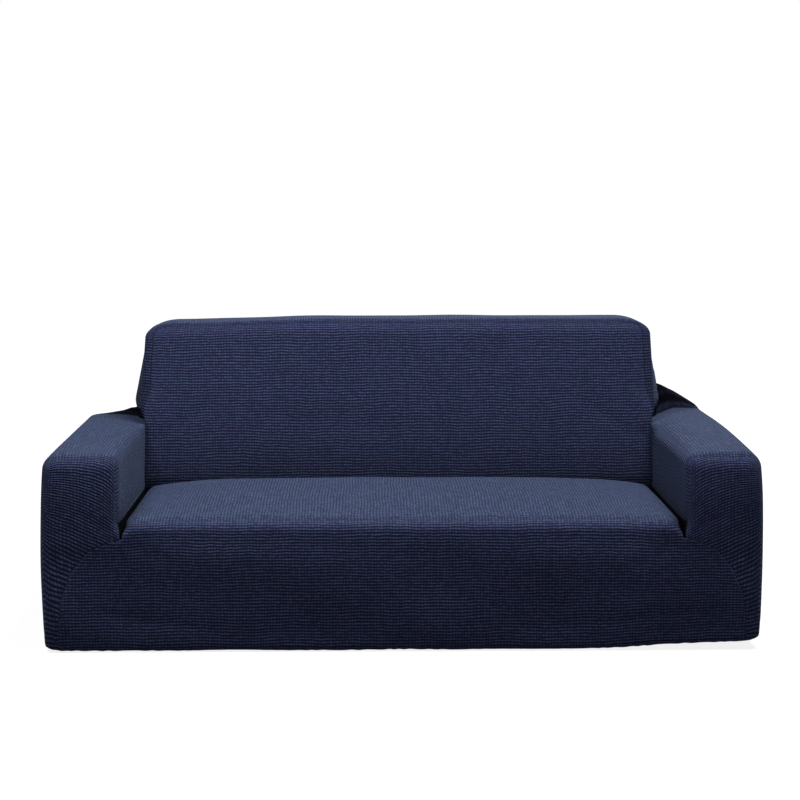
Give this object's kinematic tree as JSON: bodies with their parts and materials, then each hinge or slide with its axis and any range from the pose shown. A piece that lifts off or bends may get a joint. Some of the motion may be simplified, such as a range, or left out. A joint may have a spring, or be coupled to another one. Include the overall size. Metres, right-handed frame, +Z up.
{
  "type": "sofa slipcover",
  "caption": "Hollow stretch-knit cover for a two-seat sofa, with arms, seat, back and an elastic hem, open underneath.",
  "frame": {"origin": "under the middle of the cover, at the height of its hem", "axes": "+X along the sofa's width from left to right as seen from the front, the front faces -Y, +Z is up"},
  "size_m": [1.7998, 0.8439, 0.782],
  "materials": {
    "knit": "navy ribbed stretch knit, dull with a soft blue sheen"
  },
  "bodies": {
    "root": {"seat_and_apron": "knit", "arm_left": "knit", "arm_right": "knit", "inside_back": "knit", "outside_back": "knit"}
  },
  "joints": []
}
